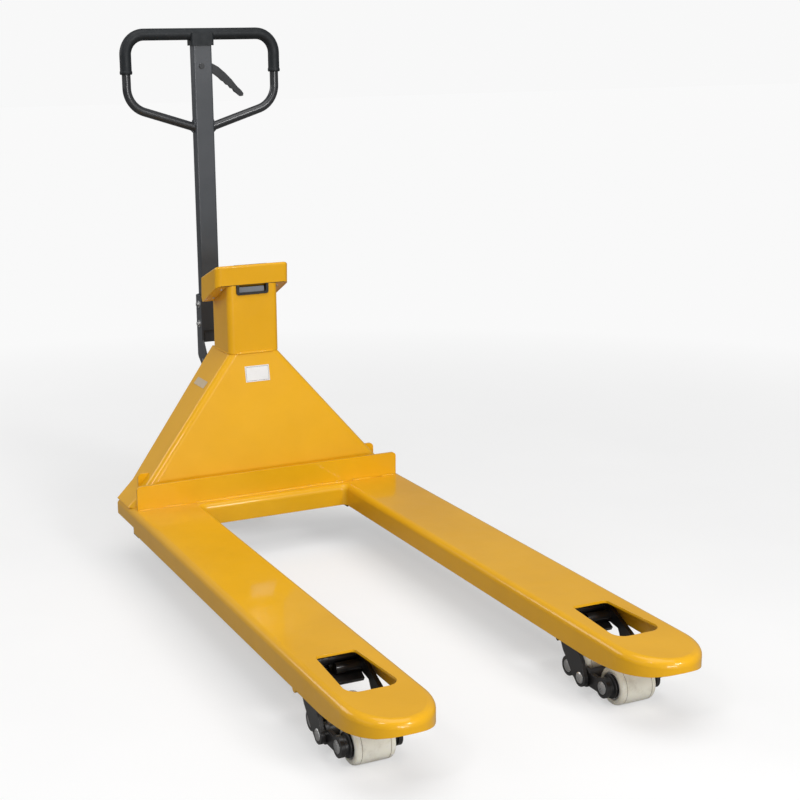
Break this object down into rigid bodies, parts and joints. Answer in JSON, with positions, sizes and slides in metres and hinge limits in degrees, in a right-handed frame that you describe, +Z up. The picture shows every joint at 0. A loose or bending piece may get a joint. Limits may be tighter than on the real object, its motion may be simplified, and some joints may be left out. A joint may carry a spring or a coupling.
{
  "type": "pallet jack",
  "caption": "Weighing pallet jack: two forks on tandem load rollers, a hydraulic steer unit with drawbar and loop handle, and an indicator on a sheet-steel column.",
  "frame": {"origin": "middle of the footprint on the floor", "axes": "+Z up, -Y towards the fork tips, +Y towards the operator, +X to the right seen from the operator's back"},
  "size_m": [0.685, 1.631, 1.211],
  "materials": {
    "yellow_paint": "gloss powder coat",
    "black_paint": "satin",
    "drawbar_paint": "semi-gloss powder coat",
    "grip_plastic": "soft-touch moulded grip",
    "black_plastic": "matte",
    "grey_plastic": "matte",
    "black_rubber": "matte",
    "key_rubber": "matte",
    "roller_nylon": "satin",
    "hub_nylon": "satin",
    "polyurethane": "satin",
    "bright_steel": "zinc plated",
    "nickel_steel": "nickel plated",
    "chromed_steel": "hard chrome",
    "circuit_board": "satin",
    "lcd_panel": "satin",
    "clear_window": "clear",
    "white_label": "paper"
  },
  "bodies": {
    "chassis": {"load_frame": "yellow_paint", "load_stop_plate": "yellow_paint", "inner_chassis": "black_paint", "load_cells": "nickel_steel", "column_shell": "yellow_paint", "column_back_plate": "yellow_paint", "head_plate": "black_paint", "neck_tube": "yellow_paint", "notch_trim": "black_rubber", "battery_pack": "grey_plastic", "indicator_housing": "yellow_paint", "indicator_base": "yellow_paint", "display_window": "clear_window", "indicator_board": "circuit_board", "display_panel": "lcd_panel", "junction_box": "grey_plastic", "sensor_cable": "black_rubber", "front_label": "white_label", "pump_ram": "chromed_steel", "thrust_bearing": "bright_steel", "frame_pivot_pins": "bright_steel", "entry_skids": "black_plastic"},
    "swivel_bracket": {"swivel_bracket": "black_paint"},
    "pump": {"pump_body": "black_paint", "steer_axle": "bright_steel", "drawbar_pivot_pin": "bright_steel", "plunger_spring": "bright_steel"},
    "plunger": {"pump_plunger": "chromed_steel"},
    "release_arm": {"release_arm": "black_paint"},
    "rocker": {"rocker_shaft": "black_paint"},
    "drawbar": {"drawbar_tube": "drawbar_paint", "drawbar_bracket": "drawbar_paint", "cam_roller": "bright_steel", "handle_loop": "drawbar_paint", "grip_sleeve": "grip_plastic", "lever_pin": "bright_steel"},
    "release_lever": {"release_lever": "black_plastic"},
    "release_rod": {"release_rod": "bright_steel"},
    "steer_wheel_left": {"steer_tyre_left": "polyurethane", "steer_hub_left": "hub_nylon"},
    "steer_wheel_right": {"steer_tyre_right": "polyurethane", "steer_hub_right": "hub_nylon"},
    "key_1": {"key_1": "key_rubber"},
    "key_2": {"key_2": "key_rubber"},
    "key_3": {"key_3": "key_rubber"},
    "key_4": {"key_4": "key_rubber"},
    "lift_rod_left": {"lift_rod_left": "black_paint"},
    "roller_frame_left": {"roller_frame_left": "black_paint", "bogie_pin_left": "bright_steel"},
    "bogie_left": {"bogie_left": "black_paint", "roller_axles_left": "bright_steel"},
    "load_roller_left_front": {"load_roller_left_front": "roller_nylon"},
    "load_roller_left_rear": {"load_roller_left_rear": "roller_nylon"},
    "lift_rod_right": {"lift_rod_right": "black_paint"},
    "roller_frame_right": {"roller_frame_right": "black_paint", "bogie_pin_right": "bright_steel"},
    "bogie_right": {"bogie_right": "black_paint", "roller_axles_right": "bright_steel"},
    "load_roller_right_front": {"load_roller_right_front": "roller_nylon"},
    "load_roller_right_rear": {"load_roller_right_rear": "roller_nylon"}
  },
  "joints": [
    {"name": "lift", "type": "slide", "parent": "swivel_bracket", "child": "chassis", "axis": [0, 0, 1], "range_m": [-0.056, 0.047]},
    {"name": "steer", "type": "hinge", "parent": "swivel_bracket", "child": "pump", "pos_m": [0, 0.6865, 0.09], "axis": [0, 0, 1], "range_deg": [-90, 90]},
    {"name": "drawbar_tilt", "type": "hinge", "parent": "pump", "child": "drawbar", "pos_m": [0, 0.7545, 0.375], "axis": [-1, 0, 0], "range_deg": [0, 78]},
    {"name": "plunger_slide", "type": "slide", "parent": "pump", "child": "plunger", "axis": [0, 0, -1], "range_m": [0, 0.0405], "deforming": ["plunger_spring"]},
    {"name": "rocker_turn", "type": "hinge", "parent": "chassis", "child": "rocker", "pos_m": [0, 0.4045, 0.1], "axis": [-1, 0, 0], "range_deg": [-23.7, 20]},
    {"name": "release_lever_pull", "type": "hinge", "parent": "drawbar", "child": "release_lever", "pos_m": [-0.004, 0.7965, 1.122], "axis": [0, 1, 0], "range_deg": [-12, 12]},
    {"name": "release_rod_slide", "type": "slide", "parent": "drawbar", "child": "release_rod", "axis": [0, 0, 1], "range_m": [-0.0036, 0.0036]},
    {"name": "release_arm_turn", "type": "hinge", "parent": "pump", "child": "release_arm", "pos_m": [-0.0407, 0.7905, 0.3], "axis": [1, 0, 0], "range_deg": [-8.5, 8.5]},
    {"name": "key_1_press", "type": "slide", "parent": "chassis", "child": "key_1", "axis": [0, -0.3397, -0.9405], "range_m": [0, 0.0012], "stiffness_N_per_m": 800},
    {"name": "key_2_press", "type": "slide", "parent": "chassis", "child": "key_2", "axis": [0, -0.3397, -0.9405], "range_m": [0, 0.0012], "stiffness_N_per_m": 800},
    {"name": "key_3_press", "type": "slide", "parent": "chassis", "child": "key_3", "axis": [0, -0.3397, -0.9405], "range_m": [0, 0.0012], "stiffness_N_per_m": 800},
    {"name": "key_4_press", "type": "slide", "parent": "chassis", "child": "key_4", "axis": [0, -0.3397, -0.9405], "range_m": [0, 0.0012], "stiffness_N_per_m": 800},
    {"name": "lift_rod_left_slide", "type": "slide", "parent": "chassis", "child": "lift_rod_left", "axis": [0, 1, 0], "range_m": [-0.0098, 0.0082]},
    {"name": "roller_frame_left_turn", "type": "hinge", "parent": "chassis", "child": "roller_frame_left", "pos_m": [-0.2625, -0.4755, 0.111], "axis": [1, 0, 0], "range_deg": [-25.4, 21.3]},
    {"name": "bogie_left_level", "type": "hinge", "parent": "roller_frame_left", "child": "bogie_left", "pos_m": [-0.2625, -0.6005, 0.036], "axis": [1, 0, 0], "range_deg": [-21.3, 25.4]},
    {"name": "load_roller_left_front_spin", "type": "hinge", "parent": "bogie_left", "child": "load_roller_left_front", "pos_m": [-0.2625, -0.6555, 0.036], "axis": [1, 0, 0], "continuous": true},
    {"name": "load_roller_left_rear_spin", "type": "hinge", "parent": "bogie_left", "child": "load_roller_left_rear", "pos_m": [-0.2625, -0.5455, 0.036], "axis": [1, 0, 0], "continuous": true},
    {"name": "steer_wheel_left_spin", "type": "hinge", "parent": "pump", "child": "steer_wheel_left", "pos_m": [-0.062, 0.6865, 0.09], "axis": [1, 0, 0], "continuous": true},
    {"name": "lift_rod_right_slide", "type": "slide", "parent": "chassis", "child": "lift_rod_right", "axis": [0, 1, 0], "range_m": [-0.0098, 0.0082]},
    {"name": "roller_frame_right_turn", "type": "hinge", "parent": "chassis", "child": "roller_frame_right", "pos_m": [0.2625, -0.4755, 0.111], "axis": [1, 0, 0], "range_deg": [-25.4, 21.3]},
    {"name": "bogie_right_level", "type": "hinge", "parent": "roller_frame_right", "child": "bogie_right", "pos_m": [0.2625, -0.6005, 0.036], "axis": [1, 0, 0], "range_deg": [-21.3, 25.4]},
    {"name": "load_roller_right_front_spin", "type": "hinge", "parent": "bogie_right", "child": "load_roller_right_front", "pos_m": [0.2625, -0.6555, 0.036], "axis": [1, 0, 0], "continuous": true},
    {"name": "load_roller_right_rear_spin", "type": "hinge", "parent": "bogie_right", "child": "load_roller_right_rear", "pos_m": [0.2625, -0.5455, 0.036], "axis": [1, 0, 0], "continuous": true},
    {"name": "steer_wheel_right_spin", "type": "hinge", "parent": "pump", "child": "steer_wheel_right", "pos_m": [0.062, 0.6865, 0.09], "axis": [1, 0, 0], "continuous": true}
  ],
  "couplings": [
    {"joint": "plunger_slide", "follows": "drawbar_tilt", "m_per_rad": 0.0296},
    {"joint": "rocker_turn", "follows": "lift", "rad_per_m": 7.33},
    {"joint": "release_rod_slide", "follows": "release_lever_pull", "m_per_rad": 0.0125},
    {"joint": "release_arm_turn", "follows": "release_lever_pull", "ratio": 0.7},
    {"joint": "lift_rod_left_slide", "follows": "lift", "ratio": 0.1738},
    {"joint": "roller_frame_left_turn", "follows": "lift", "rad_per_m": 7.9},
    {"joint": "bogie_left_level", "follows": "lift", "rad_per_m": -7.9},
    {"joint": "lift_rod_right_slide", "follows": "lift", "ratio": 0.1738},
    {"joint": "roller_frame_right_turn", "follows": "lift", "rad_per_m": 7.9},
    {"joint": "bogie_right_level", "follows": "lift", "rad_per_m": -7.9}
  ]
}
